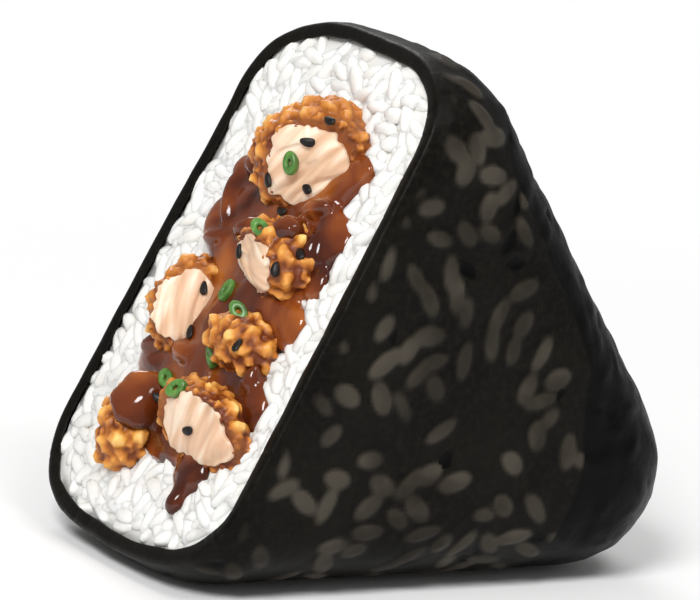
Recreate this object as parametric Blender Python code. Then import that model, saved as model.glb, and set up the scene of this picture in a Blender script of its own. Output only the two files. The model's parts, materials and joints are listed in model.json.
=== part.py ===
"""Onigiri rice ball with one slanted side cut off, showing sauced fried chicken in the rice."""
import bpy
import bmesh
import numpy as np
from mathutils import Vector

MM = 0.001

# ---- whole rice ball, in millimetres, before the cut -------------------------
BASE = 120.0            # base of the triangle if its corners were sharp
APEX_AT = 0.46          # apex position along the base
HEIGHT = 93.6           # height of the sharp triangle
CORNER_R = 17.0         # rounding of the corners, seen from the front
THICK = 55.2            # front to back
EDGE_R = 19.2           # how far the rounded edge reaches into the front face
EDGE_POWER = 3.0        # 2 is an elliptical edge, higher is fuller
REST_CUT = 0.5          # pressed flat underneath by this much
# ---- the cut ------------------------------------------------------------------
CUT_AT = 18.3           # where the cut meets the base line
CUT_ANGLE = 64.3        # slope of the cut, degrees
# ---- seaweed ------------------------------------------------------------------
SHEET = 1.0             # sheet, laid double
LIP = 2.4               # width of the edge folded onto the cut face
GAP = 0.3               # clearance between touching pieces
# ---- filling, in the cut face: s up the slope, y across, h out of the face ------
BED_CENTRE = (44.0, -2.5)
BED_HALF = (27.0, 14.0)
BED_DEPTH = 46.0
BED_DOME = 2.0
SAUCE_LOBES = {"upper_left": (61.5, 12.5, 3.6), "lower_left": (53.5, 12.0, 4.2),
               "upper_right": (68.0, -14.0, 3.2), "right": (57.5, -16.0, 4.2),
               "right_mid": (44.0, -17.0, 3.0), "right_low": (30.0, -17.5, 4.0),
               "left_low": (31.0, 12.5, 3.8), "drip": (16.5, -11.5, 2.6)}
# name: centre s, y, h; half sizes s, y, h; turn; cut facet normal (s, y, h) and depth, 0 = whole
CHUNKS = {
    "chicken_top": (67.6, -3.3, 1.5, 9.0, 10.9, 8.0, 0.35, (-0.9, -0.6, 1.0), 0.58),
    "chicken_right": (51.2, -7.8, 1.5, 6.5, 9.0, 6.6, 0.0, (-0.7, 0.2, 1.0), 0.52),
    "chicken_left": (40.1, 7.6, 1.5, 8.1, 6.4, 6.2, 0.2, (-0.3, -1.0, 1.0), 0.52),
    "chicken_middle": (38.4, -10.2, 1.5, 5.0, 7.4, 5.6, 0.0, (0.0, 0.0, 1.0), 0.0),
    "chicken_low": (21.3, 7.2, 1.4, 8.2, 5.6, 4.8, 0.1, (0.0, 0.0, 1.0), 0.0),
    "chicken_bottom": (25.6, -10.9, 1.5, 6.2, 11.0, 7.4, -0.13, (-0.7, -0.3, 1.0), 0.36),
}

ANGLE = np.radians(CUT_ANGLE)
UP = np.array([np.cos(ANGLE), 0.0, np.sin(ANGLE)])
ACROSS = np.array([0.0, 1.0, 0.0])
OUT = np.array([-np.sin(ANGLE), 0.0, np.cos(ANGLE)])
FOOT = np.array([CUT_AT, 0.0, 0.0])
CENTRE_X = 62.21        # the origin stands under the middle of the base


def material(name, colour, roughness):
    mat = bpy.data.materials.new(name)
    mat.use_nodes = True
    shader = mat.node_tree.nodes["Principled BSDF"]
    shader.inputs["Base Color"].default_value = (*colour, 1.0)
    shader.inputs["Roughness"].default_value = roughness
    shader.inputs["Metallic"].default_value = 0.0
    return mat


def make(name, points, faces, mat=None):
    """Mesh object from points in millimetres; every face is turned outward."""
    shift = np.array([CENTRE_X, 0.0, 0.0])
    bm = bmesh.new()
    verts = [bm.verts.new(Vector((np.asarray(p) - shift) * MM)) for p in points]
    for f in faces:
        bm.faces.new([verts[i] for i in f])
    bmesh.ops.recalc_face_normals(bm, faces=bm.faces[:])
    bmesh.ops.triangulate(bm, faces=bm.faces[:])
    mesh = bpy.data.meshes.new(name)
    bm.to_mesh(mesh)
    bm.free()
    obj = bpy.data.objects.new(name, mesh)
    bpy.context.scene.collection.objects.link(obj)
    if mat:
        mesh.materials.append(mat)
    return obj


def combine(target, cutter, operation):
    """Apply one exact boolean and drop the cutter."""
    mod = target.modifiers.new("cut", "BOOLEAN")
    mod.solver = "EXACT"
    mod.operation = operation
    mod.object = cutter
    bpy.context.view_layer.update()
    graph = bpy.context.evaluated_depsgraph_get()
    mesh = bpy.data.meshes.new_from_object(target.evaluated_get(graph))
    target.modifiers.clear()
    mesh.name = target.name
    mats = list(target.data.materials)
    target.data = mesh
    mesh.materials.clear()
    for m in mats:
        mesh.materials.append(m)
    bm = bmesh.new()
    bm.from_mesh(mesh)
    bmesh.ops.remove_doubles(bm, verts=bm.verts[:], dist=2e-6)
    bmesh.ops.triangulate(bm, faces=bm.faces[:])
    bm.to_mesh(mesh)
    bm.free()
    bpy.data.objects.remove(cutter)


def loft(name, rings, first, last, mat=None):
    """Closed solid from rings of equal length, closed by a point at each end."""
    n = len(rings[0])
    points = [first] + [p for ring in rings for p in ring] + [last]
    faces = []
    for k in range(n):
        j = (k + 1) % n
        faces.append((0, 1 + j, 1 + k))
        for r in range(len(rings) - 1):
            a, b = 1 + r * n, 1 + (r + 1) * n
            faces.append((a + k, a + j, b + j, b + k))
        e = 1 + (len(rings) - 1) * n
        faces.append((e + k, e + j, len(points) - 1))
    return make(name, points, faces, mat)


def outline(inset, steps=14):
    """Front outline of the whole triangle, moved in by an inset."""
    tips = np.array([(0.0, 0.0), (BASE, 0.0), (BASE * APEX_AT, HEIGHT)])
    radius = max(CORNER_R - inset, 3.0)
    away = radius + inset
    path = []
    for i in range(3):
        tip, before, after = tips[i], tips[i - 1], tips[(i + 1) % 3]
        u = (before - tip) / np.linalg.norm(before - tip)
        v = (after - tip) / np.linalg.norm(after - tip)
        half = np.arccos(u @ v) / 2
        centre = tip + (u + v) / np.linalg.norm(u + v) * away / np.sin(half)
        start = np.arctan2(-(tip - before)[0], (tip - before)[1])
        stop = np.arctan2(-(after - tip)[0], (after - tip)[1])
        stop += 2 * np.pi if stop < start else 0.0
        turn = np.linspace(start, stop, steps)
        path += list(centre + radius * np.stack([np.cos(turn), np.sin(turn)], 1))
    return np.array(path)


def resample(path, count):
    length = np.r_[0, np.cumsum(np.linalg.norm(np.diff(path, axis=0), axis=1))]
    at = np.linspace(0, length[-1], count)
    return np.stack([np.interp(at, length, path[:, c]) for c in (0, 1)], 1)


def edge_levels(thick, count):
    """Depth y and outline inset along the rounded edge, front to back."""
    turn = np.linspace(0, np.pi / 2, count)
    y = thick / 2 * np.sin(turn) ** (2 / EDGE_POWER)
    inset = EDGE_R * (1 - np.cos(turn) ** (2 / EDGE_POWER))
    half = list(zip(y, inset))
    return [(-a, b) for a, b in half[::-1]] + half[1:]


def pillow(name, shrink, cut_in, mat=None, count=7, around=52):
    """The rice ball shrunk all round, pressed flat underneath and cut along the slope."""
    rings = []
    for y, inset in edge_levels(THICK - 2 * shrink, count):
        path = outline(inset + shrink)
        ring = resample(np.vstack([path, path[:1]]), around + 1)[:-1]
        z = np.maximum(ring[:, 1], REST_CUT + shrink) - REST_CUT
        rings.append(np.stack([ring[:, 0], np.full(around, y), z], 1))
    mids = [ring.mean(0) for ring in (rings[0], rings[-1])]
    fronts = [mids[0] + (rings[0] - mids[0]) * k for k in (0.33, 0.66)]
    backs = [mids[1] + (rings[-1] - mids[1]) * k for k in (0.66, 0.33)]
    obj = loft(name, fronts + rings + backs, mids[0], mids[1], mat)
    bm = bmesh.new()
    bm.from_mesh(obj.data)
    on_cut = (in_face((0.0, 0.0), -cut_in)[0] - np.array([CENTRE_X, 0.0, 0.0])) * MM
    parts = bm.verts[:] + bm.edges[:] + bm.faces[:]
    bmesh.ops.bisect_plane(bm, geom=parts, dist=1e-7, plane_co=Vector(on_cut),
                           plane_no=Vector(OUT), clear_outer=True)
    bmesh.ops.holes_fill(bm, edges=[e for e in bm.edges if e.is_boundary], sides=0)
    bmesh.ops.remove_doubles(bm, verts=bm.verts[:], dist=2e-5)
    bmesh.ops.recalc_face_normals(bm, faces=bm.faces[:])
    bmesh.ops.triangulate(bm, faces=bm.faces[:])
    bm.to_mesh(obj.data)
    bm.free()
    return obj


def face_section(inset, count=44):
    """Outline of the cut face in (s, y), moved in by an inset."""
    path = outline(0.0, 40)
    path = resample(np.vstack([path, path[:1]]), 1200)
    rise = np.linspace(-2.0, HEIGHT * 1.1, 900)
    line = FOOT[[0, 2]] + rise[:, None] * UP[[0, 2]]
    gap = np.array([np.linalg.norm(path - p, axis=1).min() for p in line])
    within = np.nonzero(line[:, 1] > 0)[0]
    near = [i for i in within if gap[i] < 0.4]
    middle = (near[0] + near[-1]) // 2
    start = max(i for i in near if i < middle)
    stop = min(i for i in near if i > middle)
    s, off = rise[start:stop + 1], gap[start:stop + 1]
    short = np.clip((EDGE_R - off) / EDGE_R, 0.0, 1.0)
    half = THICK / 2 * (1 - short ** EDGE_POWER) ** (1 / EDGE_POWER)
    loop = np.vstack([np.stack([s, -half], 1), np.stack([s[::-1], half[::-1]], 1)])
    loop = resample(np.vstack([loop, loop[:1]]), 241)[:-1]
    tangent = np.roll(loop, -3, 0) - np.roll(loop, 3, 0)
    normal = np.stack([-tangent[:, 1], tangent[:, 0]], 1)
    normal /= np.linalg.norm(normal, axis=1, keepdims=True)
    if ((loop - loop.mean(0)) * normal).sum() > 0:
        normal = -normal
    loop = loop + normal * inset
    return resample(np.vstack([loop, loop[:1]]), count + 1)[:-1]


def in_face(sy, h):
    """Points of the cut face from (s, y) and a height h out of it."""
    sy = np.atleast_2d(sy)
    h = np.broadcast_to(h, len(sy))
    base = FOOT - np.array([0.0, 0.0, REST_CUT])
    return base + sy[:, :1] * UP + sy[:, 1:2] * ACROSS + h[:, None] * OUT


def swell(p, pitch, phase=0.0):
    """Soft lumps of about the given pitch, between -1 and 1."""
    k = 2 * np.pi / pitch
    q = np.atleast_2d(p) * k
    a = np.sin(q[:, 0] + 1.3 * np.sin(0.7 * q[:, 1] + phase) + phase)
    b = np.sin(0.9 * q[:, 1] + 1.1 * np.sin(0.8 * q[:, -1] - phase) + 2 * phase)
    c = np.sin(1.1 * q[:, -1] + 1.2 * np.sin(0.6 * q[:, 0] + phase) - phase)
    return (a + b + c) / 3


def plug(name, inset, front, back, lumps):
    """Block that fills the opening of the cut face."""
    loop = face_section(inset)
    mid = loop.mean(0)
    rings = [in_face(loop, back), in_face(loop, front - 0.6)]
    for k in (0.97, 0.85, 0.7, 0.55, 0.4, 0.25, 0.12):
        sy = mid + (loop - mid) * k
        rings.append(in_face(sy, front + lumps * swell(sy, 7.0) * min(1.0, (1 - k) * 12)))
    tip = in_face(mid, front)[0]
    return loft(name, rings, in_face(mid, back)[0], tip)


def bed_radius(turn):
    """Reach of the sauce bed from its centre, with its lobes and drip."""
    c, s = np.cos(turn), np.sin(turn)
    n = 2.6
    reach = (np.abs(c / BED_HALF[0]) ** n + np.abs(s / BED_HALF[1]) ** n) ** (-1 / n)
    for ls, ly, size in SAUCE_LOBES.values():
        ds, dy = ls - BED_CENTRE[0], ly - BED_CENTRE[1]
        ahead = ds * c + dy * s
        beside = np.abs(ds * s - dy * c)
        hit = (beside < size) & (ahead > 0)
        far = ahead + np.sqrt(np.maximum(size ** 2 - beside ** 2, 0.0))
        reach = np.where(hit, np.maximum(reach, far), reach)
    for _ in range(2):
        reach = (np.roll(reach, 1) + 2 * reach + np.roll(reach, -1)) / 4
    return reach


def bed(name, grow, mat=None, count=64):
    """Sauce bed: lobed and domed at the cut face, tapering as it runs into the rice."""
    turn = np.arange(count) * 2 * np.pi / count
    reach = bed_radius(turn) + grow
    core = np.array([BED_HALF[0], BED_HALF[1]])
    plain = np.stack([np.cos(turn) * core[0], np.sin(turn) * core[1]], 1)
    lobed = np.stack([np.cos(turn) * reach, np.sin(turn) * reach], 1)
    rings = []
    for k in (0.3, 0.55, 0.78, 0.93):
        sy = BED_CENTRE + lobed * k
        h = BED_DOME * np.sqrt(1 - k * k) + 0.5 * swell(sy, 9.0, 1.0) + grow
        rings.append(in_face(sy, h))
    rings.append(in_face(BED_CENTRE + lobed, 0.25 + grow))
    rings.append(in_face(BED_CENTRE + lobed, -2.2 - grow))
    depth = BED_DEPTH + grow
    for k in (0.12, 0.3, 0.5, 0.7, 0.86, 0.96):
        size = (1 - 0.5 * k) * (1 - k ** 5 * 0.55)
        rings.append(in_face(BED_CENTRE + plain * size * (1 + grow / 12), -depth * k))
    return loft(name, rings, in_face(BED_CENTRE, BED_DOME + grow)[0],
                in_face(BED_CENTRE, -depth)[0], mat)


def chunk(name, spec, grow, mat=None, around=22, across=11):
    """Lumpy piece of fried chicken, with a flat facet where it was cut."""
    s0, y0, h0, rs, ry, rh, turn, facet, depth = spec
    c, d = np.cos(turn), np.sin(turn)
    seed = s0 * 0.7 + y0
    normal = np.array(facet) / np.linalg.norm(facet)

    def surface(direction):
        q = np.atleast_2d(direction)
        deep = np.where(q[:, 2] < 0, rh * 1.35, rh)
        reach = ((q[:, 0] / rs) ** 2 + (q[:, 1] / ry) ** 2 + (q[:, 2] / deep) ** 2) ** -0.5
        reach = reach * (1 + 0.06 * swell(q * 10.0, 8.0, seed)) + grow
        if depth:
            toward = np.maximum(q @ normal, 1e-6)
            reach = np.minimum(reach, (depth * rh + grow) / toward)
        p = q * reach[:, None]
        sy = np.stack([s0 + c * p[:, 0] - d * p[:, 1], y0 + d * p[:, 0] + c * p[:, 1]], 1)
        return in_face(sy, h0 + p[:, 2])

    polar = np.linspace(0, np.pi, across + 1)[1:-1]
    turns = np.arange(around) * 2 * np.pi / around
    rings = [surface(np.stack([np.sin(t) * np.cos(turns), np.sin(t) * np.sin(turns),
                               np.full(around, np.cos(t))], 1)) for t in polar]
    ends = [surface(np.array([[0.0, 0.0, z]]))[0] for z in (1.0, -1.0)]
    return loft(name, rings, ends[0], ends[1], mat)


for old in list(bpy.data.objects):
    bpy.data.objects.remove(old)

rice_mat = material("cooked_rice", (0.93, 0.92, 0.88), 0.45)
nori_mat = material("nori_sheet", (0.012, 0.012, 0.010), 0.6)
sauce_mat = material("brown_sauce", (0.16, 0.035, 0.008), 0.12)
crust_mat = material("fried_crust", (0.62, 0.27, 0.06), 0.45)

# The seaweed: an outer shell less the rice space less the opening of its folded lip.
nori = pillow("nori", 0.0, 0.0, nori_mat)
combine(nori, pillow("rice_space", SHEET, SHEET), "DIFFERENCE")
combine(nori, plug("opening", LIP, 3.0, -4.0, 0.0), "DIFFERENCE")

# The rice: it fills the seaweed and comes up to the cut face inside the lip.
rice = pillow("rice", SHEET + GAP, SHEET + GAP, rice_mat)
combine(rice, plug("rice_face", LIP + GAP, -0.1, -5.0, 0.35), "UNION")

# The filling, the sauce fitted round the chicken and the rice round both.
sauce = bed("sauce", 0.0, sauce_mat)
combine(rice, bed("bed_space", GAP), "DIFFERENCE")
for part_name, part_spec in CHUNKS.items():
    chunk(part_name, part_spec, 0.0, crust_mat)
    combine(sauce, chunk("space", part_spec, GAP + 0.15), "DIFFERENCE")
    combine(rice, chunk("space", part_spec, GAP + 0.15), "DIFFERENCE")
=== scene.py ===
# %% [markdown]
# # A cut rice ball with fried chicken
# The rice ball is a soft triangle of pressed rice in a seaweed wrap. One slanted side is
# cut off, so the filling shows. The solids of the part give the sizes. This lesson makes
# the surfaces: wrinkled seaweed over grains, loose rice, crisp crust, meat and sauce.

# %% Load the frame
import json
import math
from collections import namedtuple

import bmesh
import bpy
import numpy as np
from mathutils import Matrix, Vector, noise
from mathutils.bvhtree import BVHTree

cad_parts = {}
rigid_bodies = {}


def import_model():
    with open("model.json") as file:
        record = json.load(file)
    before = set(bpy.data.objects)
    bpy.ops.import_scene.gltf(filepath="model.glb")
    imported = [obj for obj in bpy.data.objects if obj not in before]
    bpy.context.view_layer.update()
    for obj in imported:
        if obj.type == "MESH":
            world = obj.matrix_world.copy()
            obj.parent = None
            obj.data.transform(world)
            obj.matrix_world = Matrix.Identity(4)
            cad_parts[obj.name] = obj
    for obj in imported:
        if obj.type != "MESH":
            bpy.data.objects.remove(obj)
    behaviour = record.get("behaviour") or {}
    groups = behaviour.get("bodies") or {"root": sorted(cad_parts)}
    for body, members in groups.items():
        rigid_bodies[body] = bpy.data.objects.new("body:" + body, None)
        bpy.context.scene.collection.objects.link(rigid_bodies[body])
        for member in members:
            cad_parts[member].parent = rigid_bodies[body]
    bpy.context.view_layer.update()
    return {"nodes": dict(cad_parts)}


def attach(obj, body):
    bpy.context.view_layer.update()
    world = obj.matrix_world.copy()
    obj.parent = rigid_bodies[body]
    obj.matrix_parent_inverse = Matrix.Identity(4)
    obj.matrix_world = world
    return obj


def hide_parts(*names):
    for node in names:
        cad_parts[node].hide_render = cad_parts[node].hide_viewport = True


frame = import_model()
print("solids:", sorted(frame["nodes"]))

# %% [markdown]
# ## The same shape rules as the part
# The ball is a triangle with round corners, whose edges swell from front to back like a
# pillow. The cut is a plane that leans back. Everything in the cut face is placed by three
# numbers: s up the slope, y across it and h out of it, all in millimetres.

# %% Sizes and the cut face
MM = 0.001
BASE, APEX_AT, HEIGHT = 120.0, 0.46, 93.6
CORNER_R, THICK, EDGE_R, EDGE_POWER = 17.0, 55.2, 19.2, 3.0
REST_CUT, CUT_AT, CUT_ANGLE = 0.5, 18.3, math.radians(64.3)
CENTRE_X = 62.21
UP = np.array([math.cos(CUT_ANGLE), 0.0, math.sin(CUT_ANGLE)])
OUT = np.array([-math.sin(CUT_ANGLE), 0.0, math.cos(CUT_ANGLE)])
ACROSS = np.array([0.0, 1.0, 0.0])
FOOT = np.array([CUT_AT - CENTRE_X, 0.0, -REST_CUT])


def in_face(s, y, h):
    """Points of the cut face, in millimetres."""
    s, y, h = np.broadcast_arrays(*(np.asarray(v, float) for v in (s, y, h)))
    return FOOT + s[..., None] * UP + y[..., None] * ACROSS + h[..., None] * OUT


def as_object(name, mesh):
    """Object of a mesh, linked into the scene, with smooth faces."""
    obj = bpy.data.objects.new(name, mesh)
    bpy.context.scene.collection.objects.link(obj)
    smooth(mesh)
    return obj


def smooth(mesh):
    mesh.polygons.foreach_set("use_smooth", [True] * len(mesh.polygons))


def new_mesh(name, points, faces):
    """Object from points in millimetres, with shared smooth faces turned outward."""
    mesh = bpy.data.meshes.new(name)
    mesh.from_pydata([tuple(p) for p in np.asarray(points, float) * MM], [], faces)
    obj = as_object(name, mesh)
    tidy(obj)
    return obj


def tidy(obj, merge=2e-6):
    bm = bmesh.new()
    bm.from_mesh(obj.data)
    bmesh.ops.remove_doubles(bm, verts=bm.verts[:], dist=merge)
    bmesh.ops.recalc_face_normals(bm, faces=bm.faces[:])
    bm.to_mesh(obj.data)
    bm.free()
    smooth(obj.data)


def ball(name, subdivisions):
    """Icosphere object of radius 1, to be reshaped by its points."""
    bm = bmesh.new()
    bmesh.ops.create_icosphere(bm, subdivisions=subdivisions, radius=1.0)
    mesh = bpy.data.meshes.new(name)
    bm.to_mesh(mesh)
    bm.free()
    return as_object(name, mesh)


def read_points(obj):
    """A mesh's vertices in millimetres."""
    co = np.empty(len(obj.data.vertices) * 3, np.float32)
    obj.data.vertices.foreach_get("co", co)
    return co.reshape(-1, 3).astype(float) / MM


def write_points(obj, points):
    obj.data.vertices.foreach_set("co", (np.asarray(points) * MM).astype(np.float32).ravel())
    obj.data.update()


def read_normals(obj):
    no = np.empty(len(obj.data.vertices) * 3, np.float32)
    obj.data.vertex_normals.foreach_get("vector", no)
    return no.reshape(-1, 3).astype(float)


def store(obj, name, values):
    """A number on every point, which a material can read."""
    layer = obj.data.attributes.new(name, "FLOAT", "POINT")
    layer.data.foreach_set("value", np.asarray(values, np.float32))


def baked(obj, name):
    """Turn an object's live modifiers into a plain mesh and drop them."""
    bpy.context.view_layer.update()
    graph = bpy.context.evaluated_depsgraph_get()
    mesh = bpy.data.meshes.new_from_object(obj.evaluated_get(graph))
    result = as_object(name, mesh)
    bpy.data.objects.remove(obj)
    result.name = mesh.name = name
    return result


def finish_piece(obj, slot, *nodes):
    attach(obj, "root")
    if nodes:
        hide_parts(*nodes)
    print(obj.name, "faces:", len(obj.data.polygons))


print("cut face leans at", round(math.degrees(CUT_ANGLE), 1), "degrees")

# %% [markdown]
# ## Small helpers for materials
# A food surface is never one flat colour. Each material mixes a few related colours by
# noise or by a number stored on the mesh, and bends the light with a fine bump.


# %% Material helpers
class Finish:
    """A Principled material with short ways to add noise, ramps and bumps."""

    def __init__(self, name, **values):
        self.mat = bpy.data.materials.new(name)
        self.mat.use_nodes = True
        self.tree = self.mat.node_tree
        self.shader = self.tree.nodes["Principled BSDF"]
        self.coords = self.tree.nodes.new("ShaderNodeTexCoord")
        for key, value in values.items():
            self.shader.inputs[key.replace("_", " ")].default_value = value

    def add(self, kind, **values):
        node = self.tree.nodes.new(kind)
        for key, value in values.items():
            setattr(node, key, value)
        return node

    def link(self, a, b):
        self.tree.links.new(a, b)

    def noise(self, scale, detail=3.0, rough=0.5, warp=0.0, stretch=None, source=None):
        start = source or self.coords.outputs["Object"]
        if stretch:
            place = self.add("ShaderNodeMapping")
            place.inputs["Scale"].default_value = stretch
            self.link(start, place.inputs["Vector"])
            start = place.outputs["Vector"]
        node = self.add("ShaderNodeTexNoise")
        node.inputs["Scale"].default_value = scale
        node.inputs["Detail"].default_value = detail
        node.inputs["Roughness"].default_value = rough
        node.inputs["Distortion"].default_value = warp
        self.link(start, node.inputs["Vector"])
        return node.outputs["Fac"]

    def cells(self, scale, feature="F1"):
        node = self.add("ShaderNodeTexVoronoi", feature=feature)
        node.inputs["Scale"].default_value = scale
        self.link(self.coords.outputs["Object"], node.inputs["Vector"])
        return node.outputs["Distance"]

    def stored(self, name):
        return self.add("ShaderNodeAttribute", attribute_name=name).outputs["Fac"]

    def ramp(self, fac, *stops):
        node = self.add("ShaderNodeValToRGB")
        marks = node.color_ramp.elements
        while len(marks) < len(stops):
            marks.new(0.5)
        for mark, (at, colour) in zip(marks, stops):
            mark.position = at
            mark.color = (*colour, 1.0) if hasattr(colour, "__len__") else (colour,) * 3 + (1.0,)
        self.link(fac, node.inputs["Fac"])
        return node.outputs["Color"]

    def mix(self, fac, a, b, blend="MIX"):
        node = self.add("ShaderNodeMix", data_type="RGBA", blend_type=blend)
        for socket, value in ((node.inputs[0], fac), (node.inputs[6], a), (node.inputs[7], b)):
            if isinstance(value, bpy.types.NodeSocket):
                self.link(value, socket)
            elif hasattr(value, "__len__"):
                socket.default_value = (*value, 1.0)
            else:
                socket.default_value = value
        return node.outputs[2]

    def maths(self, operation, a, b=0.5):
        node = self.add("ShaderNodeMath", operation=operation)
        for socket, value in zip(node.inputs, (a, b)):
            if isinstance(value, bpy.types.NodeSocket):
                self.link(value, socket)
            else:
                socket.default_value = value
        return node.outputs[0]

    def bump(self, height, strength, distance, after=None):
        node = self.add("ShaderNodeBump")
        node.inputs["Strength"].default_value = strength
        node.inputs["Distance"].default_value = distance * MM
        self.link(height, node.inputs["Height"])
        if after:
            self.link(after, node.inputs["Normal"])
        self.link(node.outputs["Normal"], self.shader.inputs["Normal"])
        return node.outputs["Normal"]

    def colour(self, socket):
        self.link(socket, self.shader.inputs["Base Color"])

    def roughness(self, socket):
        self.link(socket, self.shader.inputs["Roughness"])


print("material helpers ready")

# %% [markdown]
# ## The camera
# A long lens looks from the front left and a little above, so both the cut face and the
# broad dark front show. It is tipped a few degrees clockwise.

# %% Camera
AZIMUTH, RISE, ROLL = map(math.radians, (32.54, 11.57, 6.08))
AIM = np.array([57.1 - CENTRE_X, 0.0, 39.0 - REST_CUT])
AWAY, FOCAL = 722.6, 251.2
back = np.array([-math.sin(AZIMUTH) * math.cos(RISE), -math.cos(AZIMUTH) * math.cos(RISE),
                 math.sin(RISE)])
right = np.array([math.cos(AZIMUTH), -math.sin(AZIMUTH), 0.0])
above = np.cross(back, right)
turned_right = right * math.cos(ROLL) + above * math.sin(ROLL)
turned_above = above * math.cos(ROLL) - right * math.sin(ROLL)
lens = bpy.data.cameras.new("camera")
lens.sensor_width, lens.lens, lens.clip_start = 36.0, FOCAL, 0.01
camera = bpy.data.objects.new("camera", lens)
bpy.context.scene.collection.objects.link(camera)
camera.matrix_world = Matrix.Translation(Vector((AIM + back * AWAY) * MM)) @ \
    Matrix((turned_right, turned_above, back)).transposed().to_4x4()
bpy.context.scene.camera = camera
print("camera", AWAY, "mm away,", FOCAL, "mm lens")

# %% [markdown]
# ## Soft studio light
# One broad lamp at the upper left models the lumps of rice and crust, a second gives the
# dark seaweed a soft sheen, and a pale world fills the shadows. The background is white
# for the camera only, so it adds no light.

# %% Light and floor
def lamp(name, place, target, size, watts):
    data = bpy.data.lights.new(name, "AREA")
    data.shape, data.size, data.energy = "DISK", size, watts
    obj = bpy.data.objects.new(name, data)
    bpy.context.scene.collection.objects.link(obj)
    obj.location = place
    obj.rotation_euler = (Vector(target) - Vector(place)).to_track_quat("-Z", "Y").to_euler()


lamp("key", (-0.46, -0.40, 0.58), (0, 0, 0.04), 0.30, 5.2)
lamp("sheen", (0.10, -0.45, 0.75), (0.01, 0, 0.05), 0.26, 1.5)
lamp("back", (0.20, 0.60, 0.55), (0, 0, 0.05), 0.40, 2.2)

world = bpy.data.worlds.new("studio")
bpy.context.scene.world = world
world.use_nodes = True
nodes, links = world.node_tree.nodes, world.node_tree.links
fill = nodes["Background"]
fill.inputs["Color"].default_value = (1.0, 0.99, 0.98, 1.0)
fill.inputs["Strength"].default_value = 0.40
white = nodes.new("ShaderNodeBackground")
white.inputs["Color"].default_value = (1.0, 1.0, 1.0, 1.0)
white.inputs["Strength"].default_value = 1.0
path = nodes.new("ShaderNodeLightPath")
choose = nodes.new("ShaderNodeMixShader")
links.new(path.outputs["Is Camera Ray"], choose.inputs["Fac"])
links.new(fill.outputs["Background"], choose.inputs[1])
links.new(white.outputs["Background"], choose.inputs[2])
links.new(choose.outputs["Shader"], nodes["World Output"].inputs["Surface"])

turns = np.linspace(0, 2 * np.pi, 97)[:-1]
rings = [30.0, 90.0, 180.0, 330.0, 600.0]
floor_points = [(0, 0, -0.05)] + [(r * math.cos(t), r * math.sin(t), -0.05) for r in rings for t in turns]
floor_faces = [(0, 1 + k, 1 + (k + 1) % 96) for k in range(96)]
for r in range(len(rings) - 1):
    for k in range(96):
        a, b, j = 1 + r * 96, 1 + (r + 1) * 96, (k + 1) % 96
        floor_faces.append((a + k, b + k, b + j, a + j))
floor = new_mesh("floor", floor_points, floor_faces)
board = Finish("pale_floor", Base_Color=(0.86, 0.86, 0.86, 1), Roughness=0.9,
               Specular_IOR_Level=0.0)
reach = board.add("ShaderNodeVectorMath", operation="LENGTH")
board.link(board.coords.outputs["Object"], reach.inputs[0])
far = board.ramp(reach.outputs["Value"], (0.07, 0.0), (0.30, 1.0))
glow = board.add("ShaderNodeEmission")
shown = board.add("ShaderNodeLightPath").outputs["Is Camera Ray"]
blend = board.add("ShaderNodeMixShader")
board.link(board.maths("MULTIPLY", far, shown), blend.inputs["Fac"])
board.link(board.shader.outputs["BSDF"], blend.inputs[1])
board.link(glow.outputs["Emission"], blend.inputs[2])
board.link(blend.outputs["Shader"], board.tree.nodes["Material Output"].inputs["Surface"])
floor.data.materials.append(board.mat)
print("floor radius", rings[-1], "mm")

# %% [markdown]
# ## The pillow surface
# The wrap and the rice core both follow the pillow. The outline is a triangle with round
# corners, and each step from the middle to the front moves it in along a full curve.


# %% Pillow surface
def outline(inset, steps=24):
    tips = np.array([(0.0, 0.0), (BASE, 0.0), (BASE * APEX_AT, HEIGHT)])
    radius = max(CORNER_R - inset, 3.0)
    path = []
    for i in range(3):
        tip, before, after = tips[i], tips[i - 1], tips[(i + 1) % 3]
        u = (before - tip) / np.linalg.norm(before - tip)
        v = (after - tip) / np.linalg.norm(after - tip)
        half = np.arccos(u @ v) / 2
        centre = tip + (u + v) / np.linalg.norm(u + v) * (radius + inset) / np.sin(half)
        start = np.arctan2(-(tip - before)[0], (tip - before)[1])
        stop = np.arctan2(-(after - tip)[0], (after - tip)[1])
        stop += 2 * np.pi if stop < start else 0.0
        turn = np.linspace(start, stop, steps)
        path += list(centre + radius * np.stack([np.cos(turn), np.sin(turn)], 1))
    return np.array(path)


def resample(path, count):
    length = np.r_[0, np.cumsum(np.linalg.norm(np.diff(path, axis=0), axis=1))]
    at = np.linspace(0, length[-1], count)
    return np.stack([np.interp(at, length, path[:, c]) for c in range(path.shape[1])], 1)


def pillow(name, shrink, around, levels, disc_rings):
    """Closed pillow shrunk all round and pressed flat underneath."""
    turn = np.minimum(np.linspace(0, 1, levels) ** 0.8, 1.0) * (np.pi / 2 - 1e-9)
    depth = (THICK / 2 - shrink) * np.sin(turn) ** (2 / EDGE_POWER)
    inset = EDGE_R * (1 - np.cos(turn) ** (2 / EDGE_POWER)) + shrink
    steps = [(-d, i) for d, i in zip(depth[::-1], inset[::-1])] + list(zip(depth, inset))[1:]
    rings = []
    for y, i in steps:
        path = outline(i)
        ring = resample(np.vstack([path, path[:1]]), around + 1)[:-1]
        z = np.maximum(ring[:, 1], REST_CUT + shrink) - REST_CUT
        rings.append(np.stack([ring[:, 0] - CENTRE_X, np.full(around, y), z], 1))
    discs = np.linspace(1, 0, disc_rings + 2)[1:-1]
    fronts = [rings[0].mean(0) + (rings[0] - rings[0].mean(0)) * k for k in discs[::-1]]
    backs = [rings[-1].mean(0) + (rings[-1] - rings[-1].mean(0)) * k for k in discs]
    rings = fronts + rings + backs
    return new_mesh(name, *lofted([rings[0].mean(0)], rings, [rings[-1].mean(0)]))


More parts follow.
